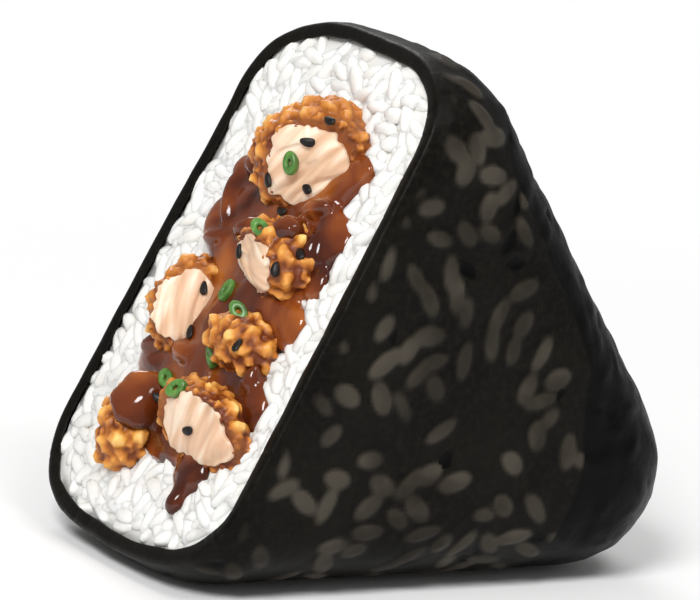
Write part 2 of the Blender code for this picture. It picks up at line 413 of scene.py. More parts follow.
def lofted(first, rings, last):
    """Points and faces of a closed skin over rings, from one end point to the other."""
    n = len(rings[0])
    points = list(first) + [p for ring in rings for p in ring] + list(last)
    faces, end = [], len(points) - 1
    for k in range(n):
        j = (k + 1) % n
        faces += [(0, 1 + j, 1 + k), (end - n + k, end - n + j, end)]
        for r in range(len(rings) - 1):
            a, b = 1 + r * n, 1 + (r + 1) * n
            faces.append((a + k, a + j, b + j, b + k))
    return points, faces


def cut_open(obj, cut_in):
    """Take away what lies beyond the slanted cut, leaving an open edge."""
    bm = bmesh.new()
    bm.from_mesh(obj.data)
    bmesh.ops.bisect_plane(bm, geom=bm.verts[:] + bm.edges[:] + bm.faces[:], dist=1e-6,
                           plane_co=Vector(in_face(0, 0, -cut_in) * MM),
                           plane_no=Vector(OUT), clear_outer=True)
    bmesh.ops.remove_doubles(bm, verts=bm.verts[:], dist=1e-4)
    bm.to_mesh(obj.data)
    bm.free()
    smooth(obj.data)


def fused(obj, voxel, factor, rounds):
    """One even skin round everything in the mesh, softened; the result is a plain mesh."""
    fuse = obj.modifiers.new("fuse", "REMESH")
    fuse.mode, fuse.voxel_size = "VOXEL", voxel * MM
    soften = obj.modifiers.new("soften", "SMOOTH")
    soften.factor, soften.iterations = factor, rounds
    return baked(obj, obj.name)


def face_section(inset, count=160):
    """Outline of the cut face as (s, y), moved in by an inset."""
    path = outline(0.0, 40)
    path = resample(np.vstack([path, path[:1]]), 1400)
    rise = np.linspace(-2.0, HEIGHT * 1.1, 1200)
    flat_foot, flat_up = np.array([CUT_AT, 0.0]), UP[[0, 2]]
    gap = np.array([np.linalg.norm(path - (flat_foot + r * flat_up), axis=1).min() for r in rise])
    near = np.nonzero((gap < 0.4) & (rise > 0))[0]
    middle = (near[0] + near[-1]) // 2
    start, stop = max(i for i in near if i < middle), min(i for i in near if i > middle)
    s, off = rise[start:stop + 1], gap[start:stop + 1]
    short = np.clip((EDGE_R - off) / EDGE_R, 0.0, 1.0)
    half = THICK / 2 * (1 - short ** EDGE_POWER) ** (1 / EDGE_POWER)
    loop = np.vstack([np.stack([s, -half], 1), np.stack([s[::-1], half[::-1]], 1)])
    loop = resample(np.vstack([loop, loop[:1]]), 401)[:-1]
    along = np.roll(loop, -4, 0) - np.roll(loop, 4, 0)
    normal = np.stack([-along[:, 1], along[:, 0]], 1)
    normal /= np.linalg.norm(normal, axis=1, keepdims=True)
    if ((loop - loop.mean(0)) * normal).sum() > 0:
        normal = -normal
    loop = loop + normal * inset
    return resample(np.vstack([loop, loop[:1]]), count + 1)[:-1]


section = face_section(0.0)
print("cut face", np.ptp(section, axis=0).round(1), "mm")

# %% [markdown]
# ## The seaweed wrap
# Nori is a sheet thinner than a millimetre that takes the shape of the grains under it.
# The sheet is the pillow surface with soft grain-shaped bumps pushed out of it. Its edge is
# folded over the rim of the cut as a narrow lip, and Solidify gives it a real thickness.

# %% Wrap: surface with grain bumps
SHEET = 0.32
wrap = fused(pillow("nori_wrap", 0.0, 260, 26, 12), 0.645, 0.5, 4)
cut_open(wrap, 0.0)
points, normals = read_points(wrap), read_normals(wrap)


def grain_relief(points, normals, count, length, width, seed):
    """Height from 0 to 1 of grains lying just under a surface, at each of its points."""
    rand = np.random.default_rng(seed)
    pick = []
    order = rand.permutation(len(points))
    for i in order:
        if len(pick) >= count:
            break
        if all(np.linalg.norm(points[i] - points[j]) > length * 0.56 for j in pick):
            pick.append(i)
    height = np.zeros(len(points))
    for i in pick:
        n = normals[i]
        side = np.cross(n, rand.normal(size=3))
        side /= np.linalg.norm(side)
        other = np.cross(n, side)
        long, wide = length * rand.uniform(0.75, 1.25), width * rand.uniform(0.8, 1.25)
        d = points - points[i]
        a, b, c = d @ side, d @ other, d @ n
        b = b + rand.uniform(-0.12, 0.12) * a * a / long
        near = np.sqrt((a / (long / 2)) ** 2 + (b / (wide / 2)) ** 2)
        bulge = np.clip(1.06 - near ** 2, 0, 1) * (np.abs(c) < 4.0) * rand.uniform(0.55, 1.0)
        height = np.maximum(height, bulge)
    return height


def spread_out(obj, values, rounds):
    """Average the value on each point with those of its neighbours."""
    ends = np.empty(len(obj.data.edges) * 2, np.int32)
    obj.data.edges.foreach_get("vertices", ends)
    a, b = ends.reshape(-1, 2).T
    count = np.maximum(np.bincount(ends, minlength=len(values)), 1)
    for _ in range(rounds):
        total = np.bincount(a, values[b], len(values)) + np.bincount(b, values[a], len(values))
        values = (values + total / count) / 2
    return values


relief = spread_out(wrap, grain_relief(points, normals, 500, 5.7, 2.4, 3), 2)
dents = grain_relief(points, normals, 120, 4.4, 1.9, 8) * (relief < 0.05)
relief *= np.clip((points[:, 2] - 0.6) / 2.0, 0, 1)
rise_from_cut = -((points - in_face(0, 0, 0)) @ OUT)
relief *= np.clip((rise_from_cut - 1.0) / 2.5, 0, 1)
soft = np.array([noise.noise(Vector(p) * 0.09) + 0.5 * noise.noise(Vector(p) * 0.23) for p in points])
soft *= np.clip((points[:, 2] - 0.6) / 3.0, 0, 1)
dents *= np.clip((points[:, 2] - 0.6) / 2.0, 0, 1)
dents *= np.clip((rise_from_cut - 1.0) / 2.5, 0, 1)

# the side of the sheet away from the cut is painted near black as painted shade, and its grain bumps are kept
# lower there
shade_side_edge = 21.0 - 0.55 * np.maximum(points[:, 2] - 34.0, 0) - 0.30 * np.maximum(22.0 - points[:, 2], 0)
shade_side_edge += np.array([3.0 * noise.noise(Vector(p) * 0.08) for p in points])
lap = np.clip((points[:, 0] - shade_side_edge) / 1.4 + 0.5, 0, 1)
relief *= 1 - 0.60 * lap
write_points(wrap, points + normals * (relief * 0.60 - dents * 0.30 + soft * 0.30)[:, None])
store(wrap, "grain", relief)
store(wrap, "dent", dents)
store(wrap, "lap", lap)
print("wrap bumps:", int((relief > 0.3).sum()), "raised points of", len(points))

# %% [markdown]
# The lip is made by copying the open edge ring inward a few times, each ring a little
# further over the rim, so the fold has a rounded crest and an uneven free edge.

# %% Wrap: folded lip and thickness
bm = bmesh.new()
bm.from_mesh(wrap.data)
grain_layer = bm.verts.layers.float["grain"]
edge = [e for e in bm.edges if e.is_boundary]
middle = in_face(*section.mean(0), 0.0)
ring = {v for e in edge for v in e.verts}
inward = {}
for v in ring:
    p = np.array(v.co) / MM
    sy = np.array([(p - FOOT) @ UP, (p - FOOT) @ ACROSS])
    i = np.linalg.norm(section - sy, axis=1).argmin()
    tangent = section[(i + 2) % len(section)] - section[i - 2]
    n = np.array([-tangent[1], tangent[0]]) / np.linalg.norm(tangent)
    n = n if n @ (section.mean(0) - sy) > 0 else -n
    wobble = 1 + 0.16 * noise.noise(Vector((sy[0] * 0.16, sy[1] * 0.16, 2.0)))
    inward[v] = (p, n[0] * UP + n[1] * ACROSS, wobble)
# how far each ring reaches over the rim, and how high it stands on the cut face
LIP_RINGS = ((0.18, 0.26), (0.6, 0.42), (1.2, 0.40), (1.8, 0.30), (2.2, 0.22), (2.4, 0.12))
for over, out in LIP_RINGS:
    made = bmesh.ops.extrude_edge_only(bm, edges=edge)["geom"]
    fresh = [g for g in made if isinstance(g, bmesh.types.BMVert)]
    step = {}
    for v in fresh:
        old = next(o for e in v.link_edges for o in e.verts if o in inward)
        p, n, wobble = inward[old]
        place = p + n * over * (wobble if over > 1.0 else 1.0) + OUT * out
        v.co = Vector(place * MM)
        v[grain_layer] = 0.0
        step[v] = (p, n, wobble)
    inward = step
    edge = [g for g in made if isinstance(g, bmesh.types.BMEdge) and all(v in step for v in g.verts)]
bmesh.ops.recalc_face_normals(bm, faces=bm.faces[:])
if sum(f.normal.dot(f.calc_center_median() - Vector((0, 0, 0.035))) * f.calc_area() for f in bm.faces) < 0:
    bmesh.ops.reverse_faces(bm, faces=bm.faces[:])
bm.to_mesh(wrap.data)
bm.free()
thicken = wrap.modifiers.new("thickness", "SOLIDIFY")
thicken.thickness, thicken.offset = SHEET * MM, -1.0
wrap = baked(wrap, "nori_wrap")
print("wrap", len(wrap.data.polygons), "faces, sheet", SHEET, "mm")

# %% [markdown]
# Nori is almost black. The grain bumps are lighter warm grey as painted highlight, the top of the ball is
# lighter as painted sheen, and the dents and the side away from the cut are near black as painted shade. A
# fine fibrous bump breaks the real sheen, and that sheen itself is weak and broad.

# %% Wrap: finish
nori = Finish("nori", Roughness=0.6, Specular_IOR_Level=0.08)
weave = nori.noise(900, 5, 0.65)
patch = nori.noise(70, 3, 0.5, 0.4)
dark = nori.mix(nori.ramp(patch, (0.35, 0.0), (0.7, 1.0)), (0.0028, 0.0025, 0.0019), (0.0060, 0.0052, 0.0038))
fleck = nori.mix(nori.ramp(weave, (0.45, 0.0), (0.75, 1.0)), dark, (0.0095, 0.0085, 0.0058))
# Painted sheen: above about 60 mm the nori colour turns lighter grey, standing in for light on the top.
high = nori.add("ShaderNodeSeparateXYZ")
nori.link(nori.coords.outputs["Object"], high.inputs[0])
painted_top_sheen = nori.ramp(nori.maths("ADD", high.outputs["Z"], nori.maths("MULTIPLY", patch, 0.016)),
                  (0.060, 0.0), (0.076, 1.0))
dark = nori.mix(painted_top_sheen, dark, (0.024, 0.0200, 0.0150))
# Painted highlight: the raised grain bumps are coloured a lighter warm grey.
painted_bump_highlight = nori.mix(nori.ramp(patch, (0.40, 0.0), (0.62, 1.0)), (0.024, 0.020, 0.015), (0.062, 0.053, 0.041))
grey = nori.mix(nori.ramp(nori.stored("grain"), (0.05, 0.0), (0.32, 1.0)), fleck, painted_bump_highlight)
# Painted shade: the dents between the grains are coloured near black.
painted_dent_shade = nori.mix(nori.ramp(nori.stored("dent"), (0.10, 0.0), (0.30, 1.0)), grey, (0.0006, 0.0006, 0.0006))
# Painted shade: the side away from the cut is made near black.
nori.colour(nori.mix(nori.ramp(nori.stored("lap"), (0.3, 0.0), (0.7, 1.0)), painted_dent_shade, (0.0012, 0.0011, 0.0010)))
nori.roughness(nori.ramp(weave, (0.3, 0.34), (0.8, 0.52)))
first = nori.bump(nori.noise(260, 4, 0.6, 0.6), 0.35, 0.35)
nori.bump(weave, 0.3, 0.12, first)
wrap.data.materials.clear()
wrap.data.materials.append(nori.mat)
finish_piece(wrap, "nori_sheet", "nori")

# %% [markdown]
# ## The rice core
# Behind the loose grains lies a closed core of pressed rice. It sits a little behind the
# cut face, so the grains on top of it make the real surface, and its own relief is of
# grain size where it shows between them.

# %% Core
core = pillow("rice_core", 1.3, 150, 16, 10)
cut_open(core, 0.8)
bm = bmesh.new()
bm.from_mesh(core.data)
bmesh.ops.holes_fill(bm, edges=[e for e in bm.edges if e.is_boundary], sides=0)
bmesh.ops.triangulate(bm, faces=[f for f in bm.faces if len(f.verts) > 4])
cap = [f for f in bm.faces if f.normal.dot(Vector(OUT)) > 0.999]
cap_edges = list(dict.fromkeys(e for f in cap for e in f.edges))
bmesh.ops.subdivide_edges(bm, edges=cap_edges, cuts=3, use_grid_fill=True)
bm.to_mesh(core.data)
bm.free()
tidy(core)
rice = Finish("cooked_rice", Base_Color=(0.84, 0.83, 0.79, 1), Roughness=0.38,
              Subsurface_Weight=0.35, Subsurface_Radius=(1.0, 0.9, 0.75), Subsurface_Scale=0.0015,
              Specular_IOR_Level=0.45)
cloud = rice.noise(220, 3, 0.5)
rice.colour(rice.ramp(cloud, (0.3, (0.76, 0.745, 0.70)), (0.5, (0.85, 0.84, 0.80)),
                      (0.72, (0.90, 0.89, 0.86))))
rice.roughness(rice.ramp(rice.noise(500, 2), (0.3, 0.28), (0.75, 0.5)))
rice.bump(rice.noise(650, 3, 0.5, 0.3), 0.22, 0.15)
core.data.materials.append(rice.mat)
finish_piece(core, "cooked_rice", "rice")

# %% [markdown]
# ## Loose grains by Geometry Nodes
# A cooked short grain is a plump, slightly bent ellipsoid about 5.5 mm long. One grain is
# modelled with a few dozen faces. A node tree scatters it over the rice part of the cut
# face, each grain lying roughly flat with a random turn and size, and ends in Realize
# Instances and Set Material so that a plain mesh can be taken from it.


# %% One grain
def grain_mesh(name, length, width, around=8, along=7):
    rings = []
    for t in np.linspace(0, math.pi, along + 1)[1:-1]:
        x, r = -math.cos(t) * length / 2, width / 2 * math.sin(t) ** 0.75
        bend = 0.10 * (1 - (2 * x / length) ** 2) * width
        rings.append([(x, r * math.cos(a) + bend, 0.88 * r * math.sin(a))
                      for a in np.arange(around) * 2 * math.pi / around])
    return new_mesh(name, *lofted([(-length / 2, 0, 0)], rings, [(length / 2, 0, 0)]))


grain = grain_mesh("rice_grain", 5.9, 2.5)
print("grain faces:", len(grain.data.polygons))


# %% The scatter tree
def scatter_tree(name):
    """Node group: instances of one object over a surface, realized, with a material."""
    tree = bpy.data.node_groups.new(name, "GeometryNodeTree")
    face = tree.interface
    face.new_socket("Geometry", in_out="INPUT", socket_type="NodeSocketGeometry")
    for label, kind in (("Piece", "Object"), ("Spacing", "Float"), ("Density", "Float"),
                        ("Smallest", "Float"), ("Largest", "Float"), ("Tilt", "Float"),
                        ("Seed", "Int"), ("Material", "Material")):
        face.new_socket(label, in_out="INPUT", socket_type="NodeSocket" + kind)
    face.new_socket("Geometry", in_out="OUTPUT", socket_type="NodeSocketGeometry")
    new, link = tree.nodes.new, tree.links.new
    enter, leave = new("NodeGroupInput"), new("NodeGroupOutput")
    spread = new("GeometryNodeDistributePointsOnFaces")
    spread.distribute_method = "POISSON"
    link(enter.outputs["Geometry"], spread.inputs["Mesh"])
    link(enter.outputs["Spacing"], spread.inputs["Distance Min"])
    link(enter.outputs["Density"], spread.inputs["Density Max"])
    link(enter.outputs["Seed"], spread.inputs["Seed"])
    piece = new("GeometryNodeObjectInfo")
    link(enter.outputs["Piece"], piece.inputs["Object"])
    flip = new("ShaderNodeMath")
    flip.operation = "MULTIPLY"
    flip.inputs[1].default_value = -1.0
    link(enter.outputs["Tilt"], flip.inputs[0])
    high, low = new("ShaderNodeCombineXYZ"), new("ShaderNodeCombineXYZ")
    for axis in ("X", "Y"):
        link(enter.outputs["Tilt"], high.inputs[axis])
        link(flip.outputs[0], low.inputs[axis])
    high.inputs["Z"].default_value = 2 * math.pi
    tilt = new("FunctionNodeRandomValue")
    tilt.data_type = "FLOAT_VECTOR"
    link(low.outputs[0], tilt.inputs[0])
    link(high.outputs[0], tilt.inputs[1])
    link(enter.outputs["Seed"], tilt.inputs["Seed"])
    turn = new("FunctionNodeRotateRotation")
    turn.rotation_space = "LOCAL"
    link(spread.outputs["Rotation"], turn.inputs[0])
    link(tilt.outputs[0], turn.inputs[1])
    size = new("FunctionNodeRandomValue")
    size.data_type = "FLOAT_VECTOR"
    link(enter.outputs["Smallest"], size.inputs[0])
    link(enter.outputs["Largest"], size.inputs[1])
    link(enter.outputs["Seed"], size.inputs["Seed"])
    place = new("GeometryNodeInstanceOnPoints")
    link(spread.outputs["Points"], place.inputs["Points"])
    link(piece.outputs["Geometry"], place.inputs["Instance"])
    link(turn.outputs[0], place.inputs["Rotation"])
    link(size.outputs[0], place.inputs["Scale"])
    real = new("GeometryNodeRealizeInstances")
    paint = new("GeometryNodeSetMaterial")
    link(place.outputs["Instances"], real.inputs["Geometry"])
    link(real.outputs["Geometry"], paint.inputs["Geometry"])
    link(enter.outputs["Material"], paint.inputs["Material"])
    link(paint.outputs["Geometry"], leave.inputs["Geometry"])
    return tree


def scatter(host, tree, name, **values):
    """Run a scatter tree on a host surface and keep the result as a plain mesh."""
    mod = host.modifiers.new("scatter", "NODES")
    mod.node_group = tree
    for item in tree.interface.items_tree:
        if item.in_out == "INPUT" and item.name in values:
            mod[item.identifier] = values[item.name]
    return baked(host, name)


scatter_pieces = scatter_tree("scatter_pieces")
print("tree nodes:", len(scatter_pieces.nodes))

# %% [markdown]
# The host surface for the grains is a fine grid in the cut face with the filling left out,
# so that no grain is wasted under the sauce.

# %% Filling plan
BED_CENTRE, BED_HALF, BED_DEPTH = np.array([44.0, -2.5]), np.array([27.0, 14.0]), 46.0
SAUCE_LOBES = {"upper_left": (61.5, 12.5, 3.6), "lower_left": (53.5, 12.0, 4.2),
               "upper_right": (68.0, -14.0, 3.2), "right": (57.5, -16.0, 4.2),
               "right_mid": (44.0, -17.0, 3.0), "right_low": (30.0, -17.5, 4.0),
               "left_low": (31.0, 12.5, 3.8), "drip": (16.5, -11.5, 2.6)}
# centre; half sizes; turn; normal of the cut facet and its depth, 0 for a whole piece
Chunk = namedtuple("Chunk", "s y h rs ry rh turn facet depth")
CHUNKS = {
    "top": Chunk(67.6, -3.3, 1.5, 9.0, 10.9, 8.0, 0.35, (-0.9, -0.6, 1.0), 0.58),
    "right": Chunk(51.2, -7.8, 1.5, 6.5, 9.0, 6.6, 0.0, (-0.7, 0.2, 1.0), 0.52),
    "left": Chunk(40.1, 7.6, 1.5, 8.1, 6.4, 6.2, 0.2, (-0.3, -1.0, 1.0), 0.52),
    "middle": Chunk(38.4, -10.2, 1.5, 5.0, 7.4, 5.6, 0.0, (0.0, 0.0, 1.0), 0.0),
    "low": Chunk(21.3, 7.2, 1.4, 8.2, 5.6, 4.8, 0.1, (0.0, 0.0, 1.0), 0.0),
    "bottom": Chunk(25.6, -10.9, 1.5, 6.2, 11.0, 7.4, -0.13, (-0.7, -0.3, 1.0), 0.36),
}


def bed_reach(turn):
    c, s = np.cos(turn), np.sin(turn)
    reach = (np.abs(c / BED_HALF[0]) ** 2.6 + np.abs(s / BED_HALF[1]) ** 2.6) ** (-1 / 2.6)
    for ls, ly, size in SAUCE_LOBES.values():
        ds, dy = ls - BED_CENTRE[0], ly - BED_CENTRE[1]
        ahead, beside = ds * c + dy * s, np.abs(ds * s - dy * c)
        far = ahead + np.sqrt(np.maximum(size ** 2 - beside ** 2, 0.0))
        reach = np.where((beside < size) & (ahead > 0), np.maximum(reach, far), reach)
    return reach


def covered(sy, margin):
    """True where the sauce bed or a piece of chicken covers the cut face."""
    d = sy - BED_CENTRE
    hit = np.linalg.norm(d, axis=1) < bed_reach(np.arctan2(d[:, 1], d[:, 0])) - margin
    for spec in CHUNKS.values():
        c, e = math.cos(spec.turn), math.sin(spec.turn)
        q = sy - (spec.s, spec.y)
        a, b = q[:, 0] * c + q[:, 1] * e, -q[:, 0] * e + q[:, 1] * c
        hit |= (a / (spec.rs - margin)) ** 2 + (b / (spec.ry - margin)) ** 2 < 1
    return hit


def inside(loop, sy):
    """Even-odd test of points in a closed outline."""
    a, b = loop, np.roll(loop, -1, 0)
    y = sy[:, 1:2]
    cross = ((a[:, 1] > y) != (b[:, 1] > y))
    rise = np.where(b[:, 1] == a[:, 1], 1e-9, b[:, 1] - a[:, 1])
    at = a[:, 0] + (y - a[:, 1]) / rise * (b[:, 0] - a[:, 0])
    return ((cross & (sy[:, :1] < at)).sum(1) % 2) == 1


def face_grid(name, border, margin, h, pitch=1.0):
    """Grid in the cut face, inside the rim by border and off the filling by margin."""
    s, y = np.arange(2, 90, pitch), np.arange(-28, 28, pitch)
    gs, gy = np.meshgrid(s, y, indexing="ij")
    sy = np.stack([gs.ravel(), gy.ravel()], 1)
    keep = inside(face_section(border), sy) & ~covered(sy, margin)
    keep = keep.reshape(gs.shape)
    points = in_face(gs, gy, h).reshape(-1, 3)
    cols = gs.shape[1]
    faces = [(i * cols + j, (i + 1) * cols + j, (i + 1) * cols + j + 1, i * cols + j + 1)
             for i in range(gs.shape[0] - 1) for j in range(cols - 1)
             if keep[i, j] and keep[i + 1, j] and keep[i, j + 1] and keep[i + 1, j + 1]]
    obj = new_mesh(name, points, faces)
    bm = bmesh.new()
    bm.from_mesh(obj.data)
    bmesh.ops.delete(bm, geom=[v for v in bm.verts if not v.link_faces], context="VERTS")
    if sum(f.normal.dot(Vector(OUT)) for f in bm.faces) < 0:
        bmesh.ops.reverse_faces(bm, faces=bm.faces[:])
    bm.to_mesh(obj.data)
    bm.free()
    return obj


# %% Two layers of grains
layers = [scatter(face_grid("under", 1.6, 2.5, -1.05), scatter_pieces, "grains_under", Piece=grain,
                  Spacing=0.0020, Density=9e5, Smallest=0.86, Largest=1.12, Tilt=0.20, Seed=4,
                  Material=rice.mat),
          scatter(face_grid("over", 3.6, 1.2, -0.55), scatter_pieces, "grains_over", Piece=grain,
                  Spacing=0.0026, Density=9e5, Smallest=0.86, Largest=1.10, Tilt=0.22, Seed=9,
                  Material=rice.mat)]


def joined(objects, name):
    """One mesh from several."""
    bm = bmesh.new()
    for o in objects:
        bm.from_mesh(o.data)
    mesh = bpy.data.meshes.new(name)
    bm.to_mesh(mesh)
    bm.free()
    for m in objects[0].data.materials:
        mesh.materials.append(m)
    for o in objects:
        bpy.data.objects.remove(o)
    return as_object(name, mesh)


def keep_pieces(obj, each, good):
    """Drop every repeated shape, of so many points each, that has a point marked bad."""
    good = good.reshape(-1, each).all(1)
    bm = bmesh.new()
    bm.from_mesh(obj.data)
    bm.verts.ensure_lookup_table()
    bad = [bm.verts[i * each + k] for i in np.nonzero(~good)[0] for k in range(each)]
    bmesh.ops.delete(bm, geom=bad, context="VERTS")
    bm.to_mesh(obj.data)
    bm.free()
    print(obj.name, int(good.sum()), "kept of", len(good))


def within_face(obj, border):
    """Which points lie inside the cut face, this far in from its edge."""
    points = read_points(obj)
    return inside(face_section(border), np.stack([(points - FOOT) @ UP, (points - FOOT) @ ACROSS], 1))


each = len(grain.data.vertices)
keep_pieces(layers[0], each, within_face(layers[0], 0.9))
keep_pieces(layers[1], each, within_face(layers[1], 2.7))
grains = joined(layers, "rice_grains")
bpy.data.objects.remove(grain)
finish_piece(grains, "cooked_rice", "rice")

# %% [markdown]
# ## Fried chicken
# Each piece is a lump with a craggy coat. The coat is built the way batter behaves: a base
# lump, then many small rounded crumbs scattered on it by Geometry Nodes, all fused by a
# voxel remesh. Where the piece was cut, a boolean slices the coat off flat, and a separate
# slab of pale meat shows inside the ring of crust.


# %% Chunk coats
LUMPS, DEEPER = 0.10, 1.35        # unevenness of a lump, and how much deeper its back is
COAT = 0.9                        # thickness of the coat over the base lump


def chunk_frame(spec):
    """Matrix from a chunk's own axes to the ball, and its centre, in millimetres."""
    c, d = math.cos(spec.turn), math.sin(spec.turn)
    a, b = UP * c + ACROSS * d, ACROSS * c - UP * d
    return np.stack([a, b, OUT], 1), in_face(spec.s, spec.y, spec.h)


def lump_reach(q, spec, seed):
    """Distance from a chunk's centre to its uneven outside, along unit directions q."""
    deep = np.where(q[:, 2] < 0, spec.rh * DEEPER, spec.rh)
    reach = ((q[:, 0] / spec.rs) ** 2 + (q[:, 1] / spec.ry) ** 2 + (q[:, 2] / deep) ** 2) ** -0.5
    wave = np.array([noise.noise(Vector(v) * 1.9 + Vector((seed, 0, 0))) for v in q])
    return reach * (1 + LUMPS * wave)


def lump(name, spec, shrink, seed):
    """Uneven ellipsoid in place, star-shaped about its centre."""
    axes, centre = chunk_frame(spec)
    obj = ball(name, 4)
    q = read_points(obj) * MM
    q /= np.linalg.norm(q, axis=1, keepdims=True)
    write_points(obj, centre + (q * (lump_reach(q, spec, seed) - shrink)[:, None]) @ axes.T)
    return obj


def crumb(name, seed):
    """A small uneven clot of batter about 1 mm in radius."""
    obj = ball(name, 2)
    for v in obj.data.vertices:
        v.co *= (1 + 0.45 * noise.noise(v.co * 1.4 + Vector((seed, 0, 0)))) * MM
    return obj


def facet_plane(spec, lift=0.0):
    """Point and normal of the flat cut through a chunk."""
    axes, centre = chunk_frame(spec)
    n = axes @ (np.array(spec.facet) / np.linalg.norm(spec.facet))
    return centre + n * (spec.depth * spec.rh + lift), n


def slice_off(obj, spec, lift=0.0):
    """Boolean the part beyond the facet away."""
    point, n = facet_plane(spec, lift)
    turn = Vector(n).to_track_quat("Z", "Y").to_matrix()
    corners = [Vector(point) + turn @ Vector((x, y, z))
               for z in (0, 30) for y in (-40, 40) for x in (-40, 40)]
    block = new_mesh("block", corners, [(0, 2, 3, 1), (4, 5, 7, 6), (0, 1, 5, 4), (2, 6, 7, 3),
                                        (0, 4, 6, 2), (1, 3, 7, 5)])
    cut = obj.modifiers.new("cut", "BOOLEAN")
    cut.operation, cut.solver, cut.object = "DIFFERENCE", "EXACT", block
    result = baked(obj, obj.name)
    bpy.data.objects.remove(block)
    return result


def coat(key, number, spec):
    """Base lump cut flat at its facet, with crumbs on what is left of its outside."""
    base = lump("base", spec, COAT, 3.7 * number + 1)
    parts = []
    for seed, spacing, low, high, far in ((1, 0.0027, 0.75, 1.5, 0.5), (2, 0.0016, 0.45, 0.95, 0.7),
                                          (3, 0.0010, 0.24, 0.50, 0.9)):
        host = base.copy()
        host.data = base.data.copy()
        bpy.context.scene.collection.objects.link(host)
        crumbs = scatter(host, scatter_pieces, "crumbs_" + key, Piece=clots[seed % 2], Spacing=spacing,
                         Density=2e6, Smallest=low, Largest=high, Tilt=0.5, Seed=seed + 10 * number)
        if spec.depth:
            point, n = facet_plane(spec, far)
            keep_pieces(crumbs, len(clots[0].data.vertices), (read_points(crumbs) - point) @ n < 0)
        parts.append(crumbs)
    base = slice_off(base, spec, -0.2) if spec.depth else base
    whole = fused(joined([base] + parts, "crust_" + key), 0.28, 0.5, 2)
    points, normals = read_points(whole), read_normals(whole)
    rough = [0.16 * noise.noise(Vector(p) * 0.9) + 0.07 * noise.noise(Vector(p) * 2.4) for p in points]
    write_points(whole, points + normals * np.array(rough)[:, None])
    print(whole.name, len(whole.data.polygons), "faces")
    return whole


clots = [crumb("clot", 1.0), crumb("clot", 5.0)]
coats = {key: coat(key, number, spec) for number, (key, spec) in enumerate(CHUNKS.items())}
for clot in clots:
    bpy.data.objects.remove(clot)

# %% [markdown]
# The crust is golden brown, lightened on the tops of the crumbs as painted highlight and darkened to deep
# amber and brown in the creases as painted shade. The height of each point over the base lump is stored on
# the mesh, so this painted light and shade follows the crumbs themselves.

# %% Crust finish
crust = Finish("fried_crust", Roughness=0.4, Specular_IOR_Level=0.35, Subsurface_Weight=0.12,
               Subsurface_Scale=0.0012, Subsurface_Radius=(1.0, 0.5, 0.2))
uneven = crust.maths("MULTIPLY", crust.maths("SUBTRACT", crust.noise(320, 3, 0.6), 0.5), 0.55)
height = crust.maths("ADD", crust.stored("height"), uneven)
# Painted light and shade: the crust's own golden brown runs from dark in the creases (painted shade) to pale
# gold on the crumb tops (painted highlight).
painted_crumb_shading = crust.ramp(height, (0.10, (0.15, 0.030, 0.005)), (0.32, (0.46, 0.15, 0.020)),
                    (0.58, (0.72, 0.32, 0.062)), (0.90, (0.93, 0.58, 0.18)))
browner = crust.ramp(crust.noise(90, 2, 0.5), (0.44, 0.0), (0.74, 0.8))
crust.colour(crust.mix(browner, painted_crumb_shading, (0.48, 0.16, 0.022)))
crust.roughness(crust.ramp(crust.noise(240, 2), (0.3, 0.26), (0.7, 0.55)))
first = crust.bump(crust.noise(1100, 4, 0.7), 0.5, 0.16)
crust.bump(crust.cells(850), 0.35, 0.15, first)


def crust_height(obj, spec, seed):
    """How far each point stands over the base lump, 0 low to 1 high."""
    axes, centre = chunk_frame(spec)
    p = (read_points(obj) - centre) @ axes
    size = np.linalg.norm(p, axis=1)
    over = size - (lump_reach(p / size[:, None], spec, seed) - COAT)
    return np.clip((over + 0.1) / 1.7, 0, 1)


for number, (key, spec) in enumerate(CHUNKS.items()):
    store(coats[key], "height", crust_height(coats[key], spec, 3.7 * number + 1))
    coats[key].data.materials.clear()
    coats[key].data.materials.append(crust.mat)
    finish_piece(coats[key], "fried_crust", "chicken_" + key)

# %% [markdown]
# ## Cut meat
# Cooked thigh meat is pale, with soft fibres that run one way. The slab is a closed disc in
# the facet with a wavy outline; its top carries ridges along the fibres, and a UV map whose
# U runs along them lets the material draw finer ones.


